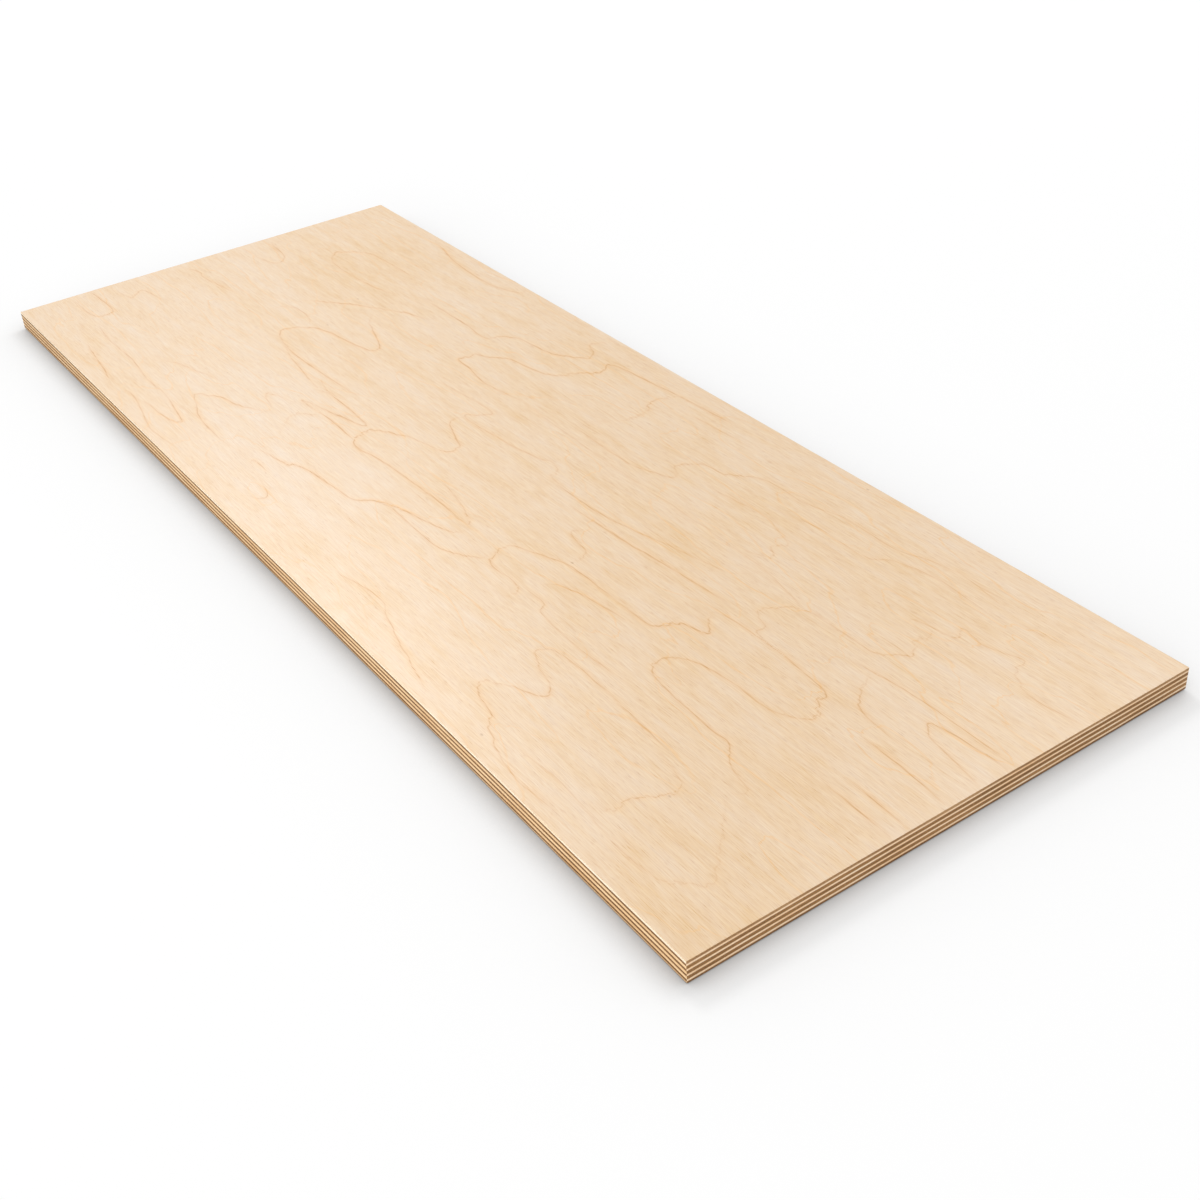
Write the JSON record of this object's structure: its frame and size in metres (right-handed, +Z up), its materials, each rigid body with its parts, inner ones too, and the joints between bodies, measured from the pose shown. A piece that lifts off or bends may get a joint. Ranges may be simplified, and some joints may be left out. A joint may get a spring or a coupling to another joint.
{
  "type": "plywood sheet",
  "caption": "Flat rectangular plywood sheet of cross-laminated wood veneers, with bare sanded faces, sawn edges that show the plies and lightly eased arrises.",
  "frame": {"origin": "centre of the underside, on the surface that the sheet lies on", "axes": "+X along the sheet's length and its face grain, +Y across it, +Z up out of the face veneer"},
  "size_m": [1.2, 0.45, 0.019],
  "materials": {
    "outer_veneer": "sanded, unfinished",
    "core_ply": "sawn edge, unfinished",
    "crossband": "sawn edge, unfinished"
  },
  "bodies": {
    "root": {"back_veneer": "outer_veneer", "crossband_1": "crossband", "core_ply_1": "core_ply", "crossband_2": "crossband", "core_ply_2": "core_ply", "crossband_3": "crossband", "core_ply_3": "core_ply", "crossband_4": "crossband", "face_veneer": "outer_veneer"}
  },
  "joints": []
}
